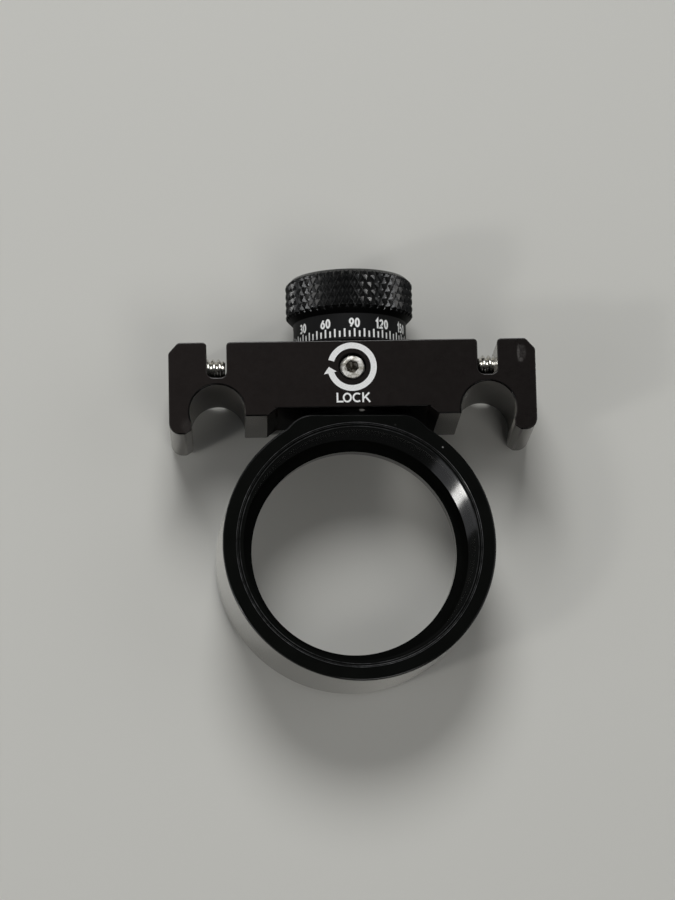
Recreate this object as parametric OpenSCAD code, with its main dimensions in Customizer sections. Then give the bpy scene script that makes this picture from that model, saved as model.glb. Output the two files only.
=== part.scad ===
// Pivoting quick-release mount for a 25.4 mm round optic in a two-rod cage.
// Frame: origin at the centre of the optic's seat, on the pivot axis.
// +X along the clip plate, +Y up the pivot axis towards the knob,
// +Z out of the plate's front face. All sizes in millimetres.

/* [Rods and clips] */
// Distance between the two rod centres
rod_spacing = 30; // [29.8:0.05:30.2]
// Diameter of the rods that the clips go over
rod_d = 6; // [5.8:0.05:6.05]
// Radial clearance between a rod and its clip
clip_clear = 0.05; // [0.02:0.01:0.1]
// Height of the rod centres above the optic's centre
rod_rise = 15; // [14.8:0.1:16]

/* [Clip plate] */
// Overall width of the plate
plate_w = 40.64; // [40.4:0.04:41.6]
// Thickness of the plate, front to back
plate_t = 12.7; // [12.4:0.1:13]
// Height of the plate's top edge above the rod centres
top_rise = 7.85; // [7.6:0.05:8.2]
// Bevel on the two outer top corners
corner_bevel = 1.2; // [0.6:0.1:1.4]
// Width of the slot above each clip
slot_w = 2.2; // [1.6:0.1:2.4]
// Depth of the slot below the top edge
slot_depth = 4; // [3.4:0.05:4.1]
// Width of the outer arm beside the slot
arm_w = 4.22; // [3.8:0.02:4.4]
// How far the arm's tip reaches below the rod centres
tip_drop = 2.48; // [2.2:0.04:2.8]
// How far the inner blocks reach below the rod centres
block_drop = 0.54; // [0.3:0.02:0.8]
// Half width of the relief between the two blocks
relief_half = 8.45; // [8:0.05:8.7]
// Height of the relief above the rod centres
relief_rise = 0.28; // [0.1:0.02:0.4]

/* [Set-screws] */
// Outside diameter of the set-screws
screw_d = 2.82; // [2.6:0.02:2.84]
// Size across flats of their hexagon sockets
screw_hex = 1.27; // [1.1:0.01:1.5]
// Depth of the clip screws below the plate's top edge
clip_screw_drop = 1.98; // [1.9:0.02:2.1]
// Length of a clip screw
clip_screw_len = 5.95; // [5:0.05:6]
// Gap from the left screw's nose to the far wall of its slot
left_gap = 0.16; // [0.04:0.02:0.4]
// Gap from the right screw's nose to the far wall of its slot
right_gap = 0.34; // [0.04:0.02:0.4]
// Depth of the lock screw below the plate's top edge
lock_drop = 2.94; // [2.8:0.02:3.4]
// Length of the lock screw
lock_len = 2.55; // [2:0.05:2.6]

/* [Optic ring] */
// Angle of the optic ring and knob about the pivot at rest
turn = 3.8; // [0:0.1:8]
// Outside diameter of the ring
ring_d = 30.2; // [30:0.1:30.4]
// Thickness of the ring, front to back
ring_t = 12.7; // [12.2:0.1:12.9]
// Major diameter of the ring's internal thread
thread_d = 26.3; // [26.2:0.02:26.4]
// Clear diameter through the seat lip
clear_d = 23; // [22:0.1:23.4]
// Thickness of the seat lip
lip_t = 1.75; // [1.2:0.05:2.4]
// Height of the ring's flat top above the optic's centre
boss_rise = 14.5; // [14.3:0.05:14.6]
// Half width at which the boss's sloping shoulders meet its flat top
boss_half = 6.25; // [5.8:0.05:6.3]
// Radius between the flat top and each shoulder
boss_r = 3.3; // [1:0.1:4]
// Bevel on the ring's outer edges
ring_bevel = 0.2; // [0.1:0.02:0.3]

/* [Pivot] */
// Diameter of the pivot post
post_d = 6; // [5.6:0.1:6.2]
// Radial running clearance round the post
post_clear = 0.04; // [0.02:0.01:0.08]

/* [Knob] */
// Diameter over the knurl
knob_d = 14.3; // [13.9:0.1:14.6]
// Diameter of the neck that carries the scale
neck_d = 12.7; // [12.4:0.1:12.8]
// Height of the neck above the plate
neck_h = 3.1; // [2.8:0.1:3.3]
// Height of the whole knob above the plate
knob_h = 8.1; // [7.9:0.05:8.4]
// Gap between the plate and the knob
knob_gap = 0.1; // [0.06:0.02:0.16]

/* [Hidden] */

eps = 0.01;
half_w = plate_w / 2;
top_y = rod_rise + top_rise;
clip_r = rod_d / 2 + clip_clear;
rod_x = rod_spacing / 2;
slot_out = half_w - arm_w;          // outer wall of a slot
slot_in = slot_out - slot_w;        // inner wall of a slot
slot_y = top_y - slot_depth;
tip_y = rod_rise - tip_drop;
block_y = rod_rise - block_drop;
relief_y = rod_rise + relief_rise;
// where the clip's circle meets the underside of the inner block
block_x = rod_x - sqrt(clip_r * clip_r - block_drop * block_drop);
// inner wall of the arm below the clip
arm_in = rod_x + clip_r * 0.927;
screw_r = screw_d / 2;
hole_r = screw_r + 0.03;
clip_screw_y = top_y - clip_screw_drop;
lock_y = top_y - lock_drop;
post_r = post_d / 2;
bore_r = post_r + post_clear;
neck_r = neck_d / 2;
knob_r = knob_d / 2;
knob_y0 = top_y + knob_gap;
neck_y = top_y + neck_h;
knob_y1 = top_y + knob_h;
cone = knob_r - neck_r + 0.04;
edge = 0.6;                         // bevel at the knob's top
web_y = knob_y1 - 4.6;              // underside of the web that the cap screw clamps
seat_y = knob_y1 - 3.7;             // floor of the cap screw's counterbore
flat_z = -post_r * 0.7;             // driving flat on the post
thread_r = thread_d / 2;
clear_r = clear_d / 2;
washer_t = relief_y - boss_rise - 0.04;

function unit(v) = v / norm(v);

// points of one rounded corner at p1, between p0 and p2
function corner(p0, p1, p2, r, n) =
    r <= 0 ? [p1] :
    let (a = unit(p0 - p1), b = unit(p2 - p1), t = acos(a * b),
         c = p1 + unit(a + b) * r / sin(t / 2), s = p1 + a * r / tan(t / 2),
         e = p1 + b * r / tan(t / 2), a0 = atan2(s[1] - c[1], s[0] - c[0]),
         a1 = atan2(e[1] - c[1], e[0] - c[0]),
         da = (a1 - a0 + 540) % 360 - 180)
    [for (i = [0:n]) c + r * [cos(a0 + da * i / n), sin(a0 + da * i / n)]];

// closed outline whose corners [x, y, r] are rounded
function outline(v, n = 8) =
    [for (i = [0:len(v) - 1])
        let (p = v[(i + len(v) - 1) % len(v)], q = v[i], s = v[(i + 1) % len(v)])
        each corner([p[0], p[1]], [q[0], q[1]], [s[0], s[1]], q[2], n)];

// right half of the plate's outline, from the top round to the relief
plate_right = [
    [slot_in, top_y, 0.45], [slot_in, slot_y, slot_w * 0.34],
    [slot_out, slot_y, slot_w * 0.34], [slot_out, top_y, 0.45],
    [half_w - corner_bevel * 0.9, top_y, 0.6], [half_w, top_y - corner_bevel, 0.6],
    [half_w, tip_y, 1.3], [half_w - 1.75, tip_y, 0.5],
    [arm_in, tip_y + 0.52, 0.35], [arm_in, rod_rise, 0],
    [block_x, rod_rise, 0], [block_x, block_y, 0.08],
    [relief_half + 1, block_y, 0.25], [relief_half, relief_y, 0.5]];
plate_left = [for (i = [len(plate_right) - 1:-1:0])
    [-plate_right[i][0], plate_right[i][1], plate_right[i][2]]];

// turns a shape built along +Z so that it stands along +Y
module along_y() { rotate([-90, 0, 0]) children(); }
// the ring, the knob and what turns with them, at the rest angle
module turned() { rotate([0, turn, 0]) children(); }
// a straight rod with bevelled ends, from z = 0 to z = h
module pin(r, h, c0, c1) {
    rotate_extrude($fn = 48)
        polygon([[0, 0], [r - c0, 0], [r, c0], [r, h - c1], [r - c1, h], [0, h]]);
}
// hexagon socket, open at z = 0 and cut towards -Z
module hex_socket(af, depth) {
    translate([0, 0, -depth]) cylinder(h = depth + 1, r = af / 2 / cos(30), $fn = 6);
}
// set-screw with its socket at z = h and a bevelled nose at z = 0
module set_screw(h) {
    difference() {
        pin(screw_r, h, 0.45, 0.15);
        translate([0, 0, h]) hex_socket(screw_hex, 1.15);
    }
}

module clip_plate() color([0.13, 0.12, 0.12]) {
    difference() {
        translate([0, 0, -plate_t / 2])
            linear_extrude(height = plate_t)
                polygon(outline(concat(plate_right, plate_left)));
        // rod clips
        for (s = [-1, 1]) translate([s * rod_x, rod_rise, -plate_t / 2 - 1])
            cylinder(h = plate_t + 2, r = clip_r, $fn = 96);
        // bore for the pivot post
        translate([0, relief_y - 1, 0]) along_y()
            cylinder(h = top_y - relief_y + 2, r = bore_r, $fn = 72);
        // tapped hole of the lock screw, from the front face into the bore
        translate([0, lock_y, 0]) cylinder(h = plate_t, r = hole_r, $fn = 48);
        // tapped holes of the clip screws, through the arms
        for (s = [-1, 1]) translate([s * (slot_out - 0.6), clip_screw_y, 0])
            rotate([0, s * 90, 0]) cylinder(h = arm_w + 2, r = hole_r, $fn = 48);
    }
}

module optic_ring() color([0.07, 0.07, 0.075]) turned() {
    difference() {
        union() {
            difference() {
                rotate_extrude($fn = 144) polygon([
                    [0, -ring_t / 2], [ring_d / 2 - ring_bevel, -ring_t / 2],
                    [ring_d / 2, -ring_t / 2 + ring_bevel], [ring_d / 2, ring_t / 2 - ring_bevel],
                    [ring_d / 2 - ring_bevel, ring_t / 2], [0, ring_t / 2]]);
                translate([-ring_d, boss_rise, -ring_t])
                    cube([2 * ring_d, ring_d, 2 * ring_t]);
            }
            // boss with its sloping shoulders
            translate([0, 0, -ring_t / 2]) linear_extrude(height = ring_t)
                polygon(outline([[-boss_half - 4, boss_rise - 4, 0],
                                 [-boss_half, boss_rise, boss_r], [boss_half, boss_rise, boss_r],
                                 [boss_half + 4, boss_rise - 4, 0], [0, 0, 0]], 12));
            // pivot post
            translate([0, boss_rise - 0.8, 0]) along_y()
                pin(post_r, web_y - boss_rise + 0.8, 0, 0.25);
        }
        // front bore with its bevelled mouth
        cylinder(h = ring_t, r = thread_r, $fn = 144);
        translate([0, 0, ring_t / 2 - 0.45])
            cylinder(h = 0.46, r1 = thread_r, r2 = thread_r + 0.46, $fn = 144);
        // clear opening through the seat lip
        translate([0, 0, -ring_t]) cylinder(h = 2 * ring_t, r = clear_r, $fn = 144);
        // rear relief
        translate([0, 0, -ring_t]) cylinder(h = ring_t - lip_t, r = thread_r - 0.25, $fn = 144);
        // driving flat on the part of the post inside the knob
        translate([-post_d, top_y + 1.2, flat_z - post_d]) cube([2 * post_d, knob_h, post_d]);
        // tapped hole for the cap screw
        translate([0, web_y - 7.2, 0]) along_y() cylinder(h = 9, r = 1.45, $fn = 48);
    }
}

module thrust_washer() color([0.08, 0.08, 0.08]) turned()
    translate([0, boss_rise, 0]) along_y() difference() {
        cylinder(h = washer_t, r = 5.6, $fn = 72);
        translate([0, 0, -1]) cylinder(h = washer_t + 2, r = post_r + 0.1, $fn = 72);
    }

module disc_spring() color([0.62, 0.62, 0.6]) turned()
    translate([0, top_y + 0.03, 0]) along_y() rotate_extrude($fn = 72)
        polygon([[post_r + 0.12, 0.3], [post_r + 1.95, 0], [post_r + 1.98, 0.22],
                 [post_r + 0.15, 0.52]]);

module knob() color([0.06, 0.06, 0.065]) turned() difference() {
    along_y() rotate_extrude($fn = 144) polygon([
        [0, knob_y0], [neck_r - 0.15, knob_y0], [neck_r, knob_y0 + 0.15],
        [neck_r, neck_y], [knob_r, neck_y + cone], [knob_r, knob_y1 - edge],
        [knob_r - edge, knob_y1], [0, knob_y1]]);
    // hollow underneath for the disc spring
    translate([0, top_y - 1, 0]) along_y() cylinder(h = 1.6, r = post_r + 2.2, $fn = 72);
    // D-shaped hole that the post drives
    intersection() {
        translate([0, top_y - 1, 0]) along_y() cylinder(h = web_y - top_y + 1, r = post_r + 0.02, $fn = 72);
        translate([-post_d, top_y - 1, flat_z - 0.02]) cube([2 * post_d, knob_h, 2 * post_d]);
    }
    // round hole below the flat
    translate([0, top_y - 1, 0]) along_y() cylinder(h = 2.2, r = post_r + 0.02, $fn = 72);
    // counterbore and clearance hole for the cap screw
    translate([0, seat_y, 0]) along_y() cylinder(h = 6, r = 2.6, $fn = 72);
    translate([0, web_y - 1, 0]) along_y() cylinder(h = 3, r = 1.55, $fn = 48);
}

module knob_washer() color([0.68, 0.68, 0.66]) turned()
    translate([0, seat_y, 0]) along_y() difference() {
        cylinder(h = 0.5, r = 2.4, $fn = 48);
        translate([0, 0, -1]) cylinder(h = 3, r = 1.5, $fn = 48);
    }

module knob_screw() color([0.15, 0.15, 0.16]) turned()
    translate([0, seat_y + 0.5, 0]) along_y() difference() {
        rotate_extrude($fn = 48) polygon([[0, -7.2], [1.1, -7.2], [1.4, -6.9], [1.4, 0],
            [2.32, 0], [2.32, 2.5], [2.1, 2.8], [0, 2.8]]);
        translate([0, 0, 2.8]) hex_socket(2.38, 1.4);
    }

module lock_screw() color([0.7, 0.7, 0.68])
    translate([0, lock_y, plate_t / 2 - 0.12 - lock_len]) set_screw(lock_len);

module lock_tip() color([0.75, 0.6, 0.25])
    translate([0, lock_y, post_r + 0.03])
        pin(0.85, plate_t / 2 - 0.12 - lock_len - post_r - 0.03, 0.1, 0);

module clip_screw_left() color([0.7, 0.7, 0.68])
    translate([-slot_in - left_gap, clip_screw_y, 0]) rotate([0, -90, 0]) set_screw(clip_screw_len);

module clip_screw_right() color([0.7, 0.7, 0.68])
    translate([slot_in + right_gap, clip_screw_y, 0]) rotate([0, 90, 0]) set_screw(clip_screw_len);

clip_plate();
optic_ring();
thrust_washer();
disc_spring();
knob();
knob_washer();
knob_screw();
lock_screw();
lock_tip();
clip_screw_left();
clip_screw_right();
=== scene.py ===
import math

import bmesh
import bpy
import numpy as np
from mathutils import Matrix, Vector


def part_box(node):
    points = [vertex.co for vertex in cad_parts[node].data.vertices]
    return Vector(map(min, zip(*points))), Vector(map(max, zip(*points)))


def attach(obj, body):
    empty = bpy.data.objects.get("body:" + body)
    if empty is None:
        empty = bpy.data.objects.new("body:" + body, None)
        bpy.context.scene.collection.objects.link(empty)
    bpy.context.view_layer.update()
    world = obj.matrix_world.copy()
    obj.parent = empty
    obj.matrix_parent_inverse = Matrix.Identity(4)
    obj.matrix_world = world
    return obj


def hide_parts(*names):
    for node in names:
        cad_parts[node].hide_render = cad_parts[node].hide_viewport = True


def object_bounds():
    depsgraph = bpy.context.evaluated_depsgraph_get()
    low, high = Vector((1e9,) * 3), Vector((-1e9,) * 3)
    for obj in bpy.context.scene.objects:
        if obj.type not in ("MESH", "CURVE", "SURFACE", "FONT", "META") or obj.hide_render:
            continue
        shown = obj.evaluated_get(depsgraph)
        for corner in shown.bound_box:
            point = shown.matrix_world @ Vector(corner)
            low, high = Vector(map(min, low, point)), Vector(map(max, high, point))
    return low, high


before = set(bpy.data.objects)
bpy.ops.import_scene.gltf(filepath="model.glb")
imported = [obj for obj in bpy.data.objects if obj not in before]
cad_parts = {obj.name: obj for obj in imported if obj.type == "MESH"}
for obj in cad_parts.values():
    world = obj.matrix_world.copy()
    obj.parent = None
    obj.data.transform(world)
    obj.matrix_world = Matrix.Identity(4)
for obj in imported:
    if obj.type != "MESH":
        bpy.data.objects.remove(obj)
cad_lo, cad_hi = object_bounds()
MM = 0.001
pi = math.pi

# ---------------------------------------------------------------- sizes, mm
plate_lo, plate_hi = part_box("clip_plate")
TOP = plate_hi.y * 1000           # plate's top edge
TP = plate_hi.z * 1000            # plate's front face
HALF_W = plate_hi.x * 1000
KNOB_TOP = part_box("knob")[1].y * 1000
TURN = math.radians(3.8)
ROD_X, ROD_Y, CLIP_R = 15.0, 15.0, 3.05
RING_R, RING_T, BOSS_Y = 15.1, 12.7, 14.5
THREAD_R, CLEAR_R, LIP_T = 13.15, 11.5, 1.75
NECK_R, KNOB_R = 6.35, 7.15
PITCH = 0.635
LOCK_Y = TOP - 2.94
CLIP_Y = TOP - 1.98


# ---------------------------------------------------------------- mesh helpers
def new_mesh(name, verts, faces, mats=(), smooth=True, sharp=None, mat_ids=None):
    """A mesh object from points in millimetres."""
    me = bpy.data.meshes.new(name)
    v = np.asarray(verts, float) * MM
    me.from_pydata([tuple(p) for p in v], [], [tuple(int(i) for i in f) for f in faces])
    for m in mats:
        me.materials.append(m)
    if mat_ids is not None:
        me.polygons.foreach_set("material_index", np.asarray(mat_ids, np.int32))
    me.polygons.foreach_set("use_smooth", [smooth] * len(me.polygons))
    me.validate()
    me.update()
    if sharp is not None:
        me.set_sharp_from_angle(angle=math.radians(sharp))
    o = bpy.data.objects.new(name, me)
    bpy.context.scene.collection.objects.link(o)
    return o


def outward(o):
    """Turns all faces of a closed mesh outwards."""
    bm = bmesh.new()
    bm.from_mesh(o.data)
    bmesh.ops.remove_doubles(bm, verts=bm.verts, dist=1e-8)
    bmesh.ops.dissolve_degenerate(bm, dist=1e-9, edges=bm.edges)
    bmesh.ops.recalc_face_normals(bm, faces=bm.faces)
    bm.to_mesh(o.data)
    bm.free()
    o.data.update()
    return o


def weighted(o):
    m = o.modifiers.new("normals", "WEIGHTED_NORMAL")
    m.keep_sharp = True
    m.weight = 100
    return o


def ride(o, body):
    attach(o, body)
    return o


def unit(v):
    return v / np.linalg.norm(v)


def corner(p0, p1, p2, r, n):
    p0, p1, p2 = (np.array(q[:2], float) for q in (p0, p1, p2))
    if r <= 0:
        return [p1]
    a, b = unit(p0 - p1), unit(p2 - p1)
    t = math.acos(float(np.clip(a @ b, -1, 1)))
    c = p1 + unit(a + b) * r / math.sin(t / 2)
    s, e = p1 + a * r / math.tan(t / 2), p1 + b * r / math.tan(t / 2)
    a0, a1 = math.atan2(*(s - c)[::-1]), math.atan2(*(e - c)[::-1])
    da = (a1 - a0 + 3 * pi) % (2 * pi) - pi
    return [c + r * np.array([math.cos(a0 + da * i / n), math.sin(a0 + da * i / n)]) for i in range(n + 1)]


def outline(v, n=8):
    out = []
    for i, q in enumerate(v):
        out += corner(v[i - 1], q, v[(i + 1) % len(v)], q[2], n)
    return np.array(out)


def tidy(path, tol=1e-4):
    keep = [p for i, p in enumerate(path) if np.linalg.norm(p - path[i - 1]) > tol]
    return np.array(keep)


def inset(path, d):
    """Moves a closed path (either direction) towards its inside by d."""
    area = 0.5 * np.sum(path[:, 0] * np.roll(path[:, 1], -1) - np.roll(path[:, 0], -1) * path[:, 1])
    s = 1 if area > 0 else -1
    e0 = path - np.roll(path, 1, 0)
    e1 = np.roll(path, -1, 0) - path
    n0 = s * np.c_[-e0[:, 1], e0[:, 0]] / np.linalg.norm(e0, axis=1)[:, None]
    n1 = s * np.c_[-e1[:, 1], e1[:, 0]] / np.linalg.norm(e1, axis=1)[:, None]
    m = n0 + n1
    return path + m * (d * 2 / np.sum(m * m, 1))[:, None]


def slab(name, path, z0, z1, edge, mats, steps=3, sharp=50):
    """A plate with that outline and edges rounded to radius edge, front and back."""
    rings = []
    for i in range(steps + 1):
        a = pi / 2 * (1 - i / steps)
        rings.append((inset(path, edge * (1 - math.cos(a))), z0 + edge * (1 - math.sin(a))))
    for i in range(steps + 1):
        a = pi / 2 * i / steps
        rings.append((inset(path, edge * (1 - math.cos(a))), z1 - edge * (1 - math.sin(a))))
    n = len(path)
    verts = np.vstack([np.c_[r, np.full(n, z)] for r, z in rings])
    faces = [list(range(n))[::-1]]
    for k in range(len(rings) - 1):
        a, b = k * n, (k + 1) * n
        faces += [(a + i, a + (i + 1) % n, b + (i + 1) % n, b + i) for i in range(n)]
    faces.append([(len(rings) - 1) * n + i for i in range(n)])
    o = new_mesh(name, verts, faces, mats)
    outward(o)
    return o


def revolve(name, prof, mats=(), n=128, axis="z", at=(0, 0, 0), sharp=35, mat_ids=None, closed=False):
    """Turns a profile of (radius, height) pairs round an axis. A closed profile makes a ring."""
    prof = np.asarray(prof, float)
    m = len(prof)
    ang = np.arange(n) * 2 * pi / n
    ca, sa = np.cos(ang), np.sin(ang)
    v, ids = [], np.zeros((m, n), int)
    for j, (r, h) in enumerate(prof):
        if r < 1e-6:
            ids[j, :] = len(v)
            v.append((0, 0, h))
        else:
            ids[j] = len(v) + np.arange(n)
            v += list(zip(r * ca, r * sa, np.full(n, h)))
    f, mi = [], []
    for j in range(m if closed else m - 1):
        k = (j + 1) % m
        for i in range(n):
            q = (i + 1) % n
            face = []
            for x in (ids[j, i], ids[j, q], ids[k, q], ids[k, i]):
                if x not in face:
                    face.append(x)
            if len(face) > 2:
                f.append(face)
                mi.append(0 if mat_ids is None else mat_ids[j])
    v = np.array(v, float)
    if axis == "y":
        v = np.c_[v[:, 1], v[:, 2], v[:, 0]]
    elif axis == "x":
        v = np.c_[v[:, 2], v[:, 0], v[:, 1]]
    elif axis == "-x":
        v = np.c_[-v[:, 2], v[:, 1], v[:, 0]]
    v = v + np.array(at)
    o = new_mesh(name, v, f, mats, mat_ids=mi if mat_ids is not None else None)
    outward(o)
    o.data.polygons.foreach_set("use_smooth", [True] * len(o.data.polygons))
    o.data.set_sharp_from_angle(angle=math.radians(sharp))
    return o


def turned(o, a=TURN):
    """Turns a mesh about the pivot axis, positive moving the front to +X."""
    o.data.transform(Matrix.Rotation(a, 4, "Y"))
    return o


def cut(o, cutters):
    for c in cutters:
        m = o.modifiers.new("cut", "BOOLEAN")
        m.operation, m.solver, m.object = "DIFFERENCE", "EXACT", c
    dg = bpy.context.evaluated_depsgraph_get()
    me = bpy.data.meshes.new_from_object(o.evaluated_get(dg))
    o.modifiers.clear()
    old, o.data = o.data, me
    bpy.data.meshes.remove(old)
    for c in cutters:
        bpy.data.objects.remove(c)
    return o


def join(objs, name):
    bm = bmesh.new()
    mats = []
    for o in objs:
        tmp = bmesh.new()
        tmp.from_mesh(o.data)
        ids = []
        for m in o.data.materials:
            if m not in mats:
                mats.append(m)
            ids.append(mats.index(m))
        for f in tmp.faces:
            f.material_index = ids[f.material_index] if ids else 0
        me = bpy.data.meshes.new("tmp")
        tmp.to_mesh(me)
        tmp.free()
        bm.from_mesh(me)
        bpy.data.meshes.remove(me)
        bpy.data.objects.remove(o)
    me = bpy.data.meshes.new(name)
    bm.to_mesh(me)
    bm.free()
    for m in mats:
        me.materials.append(m)
    o = bpy.data.objects.new(name, me)
    bpy.context.scene.collection.objects.link(o)
    return o


def thread(name, r_crest, r_root, z0, z1, mats, n=160, m=12, inside=False, ends=0.35, limit=None, hand=1):
    """A helical screw thread from z0 to z1. Outside: r_crest > r_root. Inside: r_crest < r_root.
    limit(z) gives a radius that the thread is cut back to: a cone or bevel."""
    turns = int(math.ceil((z1 - z0) / PITCH)) + 2
    knots = [0.0, 0.08, 0.2, 0.32, 0.44, 0.5, 0.56, 0.68, 0.8, 0.92] if m > 4 else [0.08, 0.44, 0.56, 0.92]
    m = len(knots)
    rows = turns * m + 1
    depth = r_root - r_crest
    verts, idx = [], np.zeros((rows, n + 1), int)

    def prof(u):
        u = u % 1.0
        d = abs(u - 0.5) * 2          # 0 in mid-root, 1 on the crest
        d = min(max((d - 0.12) / 0.72, 0), 1)
        return r_root - depth * d

    for i in range(n + 1):
        a = 2 * pi * i / n
        for j in range(rows):
            z = z0 - PITCH + PITCH * (j // m + knots[j % m]) + hand * PITCH * i / n - (0 if hand > 0 else -PITCH)
            zc = min(max(z, z0), z1)
            u = (zc - z0) / PITCH - hand * i / n
            r = prof(u + 1e-9)
            k = min((zc - z0) / ends, (z1 - zc) / ends, 1.0) if ends else 1.0
            k = max(k, 0.0)
            r = r_root + (r - r_root) * k if inside else r_root + (r - r_root) * k
            if limit:
                r = max(r, limit(zc)) if inside else min(r, limit(zc))
            idx[j, i] = len(verts)
            verts.append((r * math.cos(a), r * math.sin(a), zc))
    faces = []
    V = np.array(verts)
    for j in range(rows - 1):
        for i in range(n):
            q = [idx[j, i], idx[j, i + 1], idx[j + 1, i + 1], idx[j + 1, i]]
            z = V[q][:, 2]
            if z.max() - z.min() < 1e-6:
                continue
            faces.append(q)
    o = new_mesh(name, V, faces, mats)
    bm = bmesh.new()
    bm.from_mesh(o.data)
    bmesh.ops.remove_doubles(bm, verts=bm.verts, dist=1e-8)
    loose = [v for v in bm.verts if not v.link_faces]
    bmesh.ops.delete(bm, geom=loose, context="VERTS")
    bmesh.ops.recalc_face_normals(bm, faces=bm.faces)
    # faces of an inside thread look at the axis, those of an outside thread away from it
    f = max(bm.faces, key=lambda f: f.calc_area())
    c = f.calc_center_median()
    out = f.normal.x * c.x + f.normal.y * c.y > 0
    if out == inside:
        bmesh.ops.reverse_faces(bm, faces=bm.faces)
    bm.to_mesh(o.data)
    bm.free()
    o.data.polygons.foreach_set("use_smooth", [True] * len(o.data.polygons))
    o.data.set_sharp_from_angle(angle=math.radians(40))
    return o


# ---------------------------------------------------------------- materials
class Nodes:
    def __init__(self, name):
        self.mat = bpy.data.materials.new(name)
        self.mat.use_nodes = True
        self.t = self.mat.node_tree
        self.b = self.t.nodes["Principled BSDF"]
        self.co = self.add("ShaderNodeTexCoord").outputs["Object"]

    def add(self, kind, **props):
        n = self.t.nodes.new(kind)
        for k, v in props.items():
            setattr(n, k, v)
        return n

    def link(self, a, b):
        self.t.links.new(a, b)
        return self

    def set(self, **kw):
        for k, v in kw.items():
            self.b.inputs[k.replace("_", " ")].default_value = v
        return self

    def noise(self, scale, detail=3.0, rough=0.55, vec=None, stretch=None):
        n = self.add("ShaderNodeTexNoise")
        n.inputs["Scale"].default_value = scale
        n.inputs["Detail"].default_value = detail
        n.inputs["Roughness"].default_value = rough
        v = vec or self.co
        if stretch:
            m = self.add("ShaderNodeVectorMath", operation="MULTIPLY")
            m.inputs[1].default_value = stretch
            self.link(v, m.inputs[0])
            v = m.outputs[0]
        self.link(v, n.inputs["Vector"])
        return n.outputs["Fac"]

    def ramp(self, fac, stops):
        r = self.add("ShaderNodeValToRGB")
        e = r.color_ramp.elements
        while len(e) < len(stops):
            e.new(0.5)
        for el, (p, c) in zip(e, stops):
            el.position = p
            el.color = (c, c, c, 1) if isinstance(c, (int, float)) else (*c, 1)
        self.link(fac, r.inputs["Fac"])
        return r.outputs["Color"]

    def math(self, op, a, b=None, clamp=False):
        n = self.add("ShaderNodeMath", operation=op, use_clamp=clamp)
        for i, x in enumerate((a, b)):
            if x is None:
                continue
            if isinstance(x, (int, float)):
                n.inputs[i].default_value = x
            else:
                self.link(x, n.inputs[i])
        return n.outputs[0]

    def mix(self, fac, a, b):
        n = self.add("ShaderNodeMix", data_type="RGBA")
        self.link(fac, n.inputs[0])
        for s, x in ((n.inputs[6], a), (n.inputs[7], b)):
            if isinstance(x, tuple):
                s.default_value = (*x, 1)
            else:
                self.link(x, s)
        return n.outputs[2]

    def bump(self, height, strength, dist):
        n = self.add("ShaderNodeBump")
        n.inputs["Strength"].default_value = strength
        n.inputs["Distance"].default_value = dist
        self.link(height, n.inputs["Height"])
        self.link(n.outputs["Normal"], self.b.inputs["Normal"])
        return n.outputs["Normal"]

    def band(self, value, mid, half, soft):
        """1 where a length in metres lies within half of mid, given in millimetres, with soft sides."""
        d = self.math("ABSOLUTE", self.math("SUBTRACT", value, mid * MM))
        return self.math("DIVIDE", self.math("SUBTRACT", (half + soft / 2) * MM, d), soft * MM, clamp=True)

    def over(self, value, edge, soft):
        return self.math("DIVIDE", self.math("SUBTRACT", value, edge * MM), soft * MM, clamp=True)

    def turned_zr(self):
        """Height along the ring's own axis and distance from it, for pieces that are turned with the ring."""
        out = []
        for axis in ((math.sin(TURN), 0, math.cos(TURN)), (math.cos(TURN), 0, -math.sin(TURN)), (0, 1, 0)):
            d = self.add("ShaderNodeVectorMath", operation="DOT_PRODUCT")
            self.link(self.co, d.inputs[0])
            d.inputs[1].default_value = axis
            out.append(d.outputs["Value"])
        sq = self.math("ADD", self.math("MULTIPLY", out[1], out[1]), self.math("MULTIPLY", out[2], out[2]))
        return out[0], self.math("SQRT", sq)

    def spot(self, at, radii, soft=0.5, wobble=None, wob=0.3):
        """1 inside an ellipsoid round a point given in millimetres, 0 outside, with a broken rim."""
        s = self.add("ShaderNodeVectorMath", operation="SUBTRACT")
        self.link(self.co, s.inputs[0])
        s.inputs[1].default_value = [c * MM for c in at]
        d = self.add("ShaderNodeVectorMath", operation="DIVIDE")
        self.link(s.outputs[0], d.inputs[0])
        d.inputs[1].default_value = [c * MM for c in radii]
        ln = self.add("ShaderNodeVectorMath", operation="LENGTH")
        self.link(d.outputs[0], ln.inputs[0])
        x = ln.outputs["Value"]
        if wobble is not None:
            x = self.math("ADD", x, self.math("MULTIPLY", self.math("SUBTRACT", wobble, 0.5), wob * 2))
        x = self.math("SUBTRACT", 1.0 + soft / 2, x)
        return self.math("DIVIDE", x, soft, clamp=True)


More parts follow.
